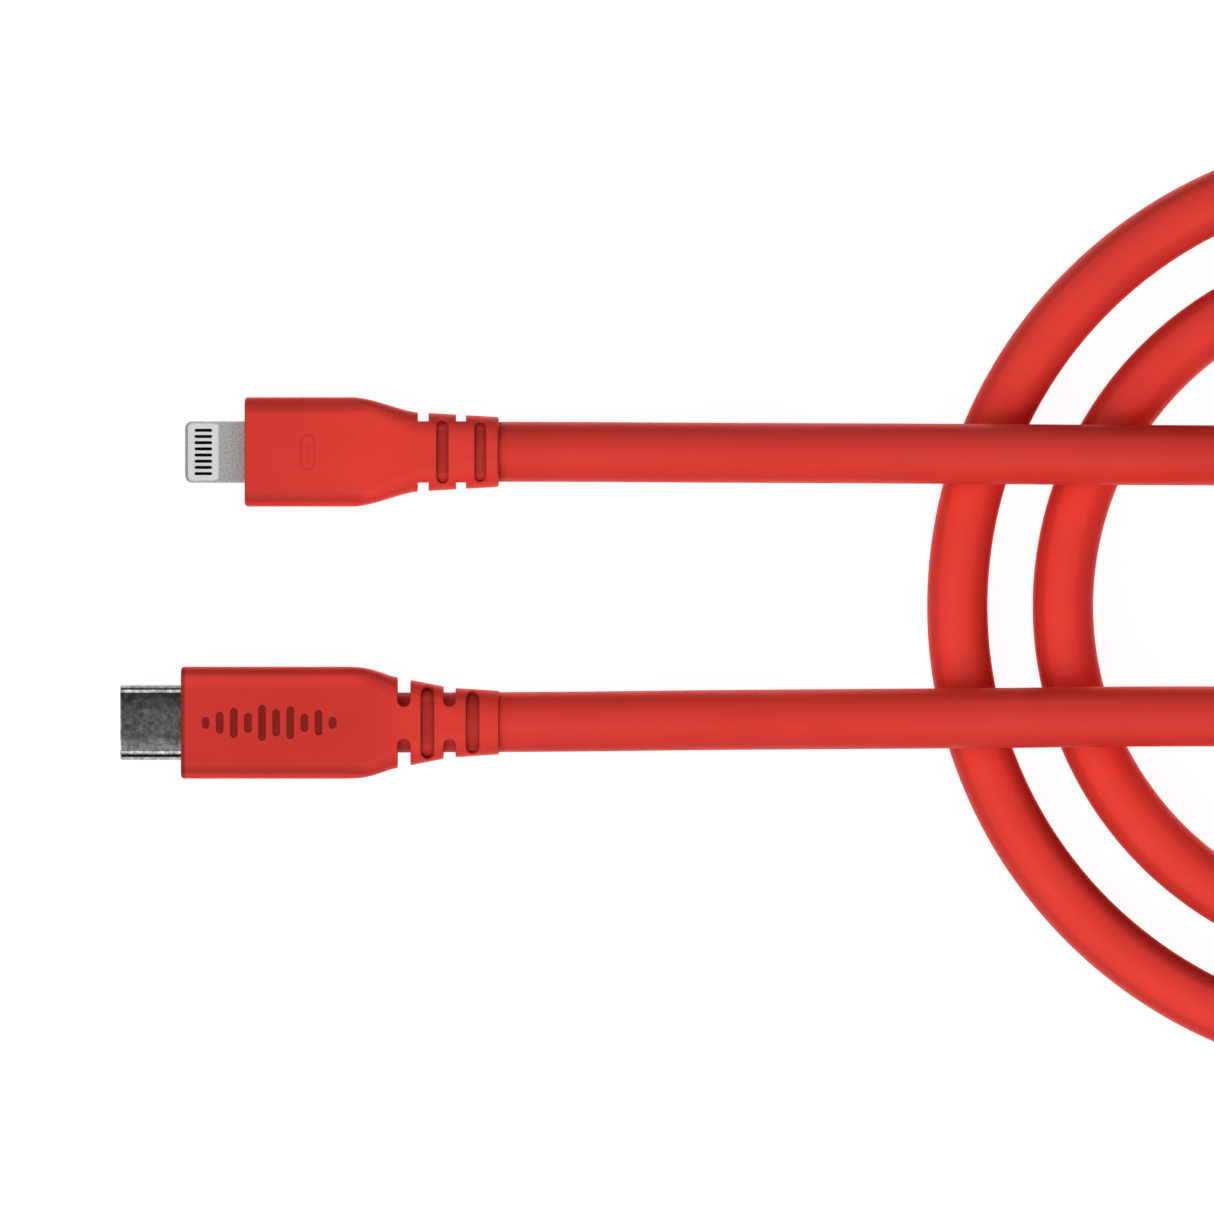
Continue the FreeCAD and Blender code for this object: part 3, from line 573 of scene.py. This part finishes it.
sideways = air.nodes.new("ShaderNodeMath")
sideways.operation = "ABSOLUTE"
air.links.new(look.outputs["X"], sideways.inputs[0])
ray = air.nodes.new("ShaderNodeLightPath")
on_surfaces = room(look.outputs["Z"], -0.05, 0.05, LIGHT_BELOW, LIGHT_ABOVE)
in_mirrors = room(sideways.outputs["Value"], 0.35, 1.0, LIGHT_ABOVE, END_WALL)
on_object = either(ray.outputs["Is Diffuse Ray"], in_mirrors, on_surfaces)
air.links.new(either(ray.outputs["Is Camera Ray"], on_object), backdrop.inputs["Strength"])

scene.view_settings.view_transform = "Standard"

LIGHT_DISTANCE = 1.2
# Each row is a name, the tilt from straight up and the heading clockwise from +Y in degrees,
# the width and the height in metres, and the power in watts. A tilt over 90 is a light under
# the table, which casts no shadow.
LIGHTS = (
    ("key_lower", 30, 180, 1.2, 0.9, 9.3),
    ("key_left", 22, 270, 1.2, 0.8, 7.3),
    ("table_upper", 140, 0, 1.6, 0.5, 20.0),
    ("table_lower", 148, 180, 1.6, 0.5, 11.0),
    ("table_right", 145, 90, 1.6, 0.5, 7.0),
)
# These only show in the metal
CARDS = (
    ("card_lower", 37, 180, 2.86, 0.66, 7.0),
    ("card_upper", 49, 0, 2.86, 0.84, 9.3),
    ("card_top", 0, 0, 2.86, 0.97, 1.9),
)


def softbox(mirrored, name, tilt, heading, width, height, power):
    """An area light aimed at the middle of the picture. It either lights the surfaces or is
    mirrored in them."""
    light = bpy.data.lights.new(name, "AREA")
    light.shape = "RECTANGLE"
    light.size = width
    light.size_y = height
    light.energy = power
    lamp = bpy.data.objects.new(name, light)
    scene.collection.objects.link(lamp)
    t, h = math.radians(tilt), math.radians(heading)
    way = Vector((math.sin(t) * math.sin(h), math.sin(t) * math.cos(h), math.cos(t)))
    middle = Vector((FRAME_X * MM, FRAME_Y * MM, 0))
    lamp.location = middle + way * LIGHT_DISTANCE
    lamp.rotation_mode = "QUATERNION"
    lamp.rotation_quaternion = way.to_track_quat("Z", "Y")
    lamp.visible_camera = False
    lamp.visible_glossy = mirrored
    lamp.visible_diffuse = not mirrored


for row in LIGHTS:
    softbox(False, *row)
for row in CARDS:
    softbox(True, *row)
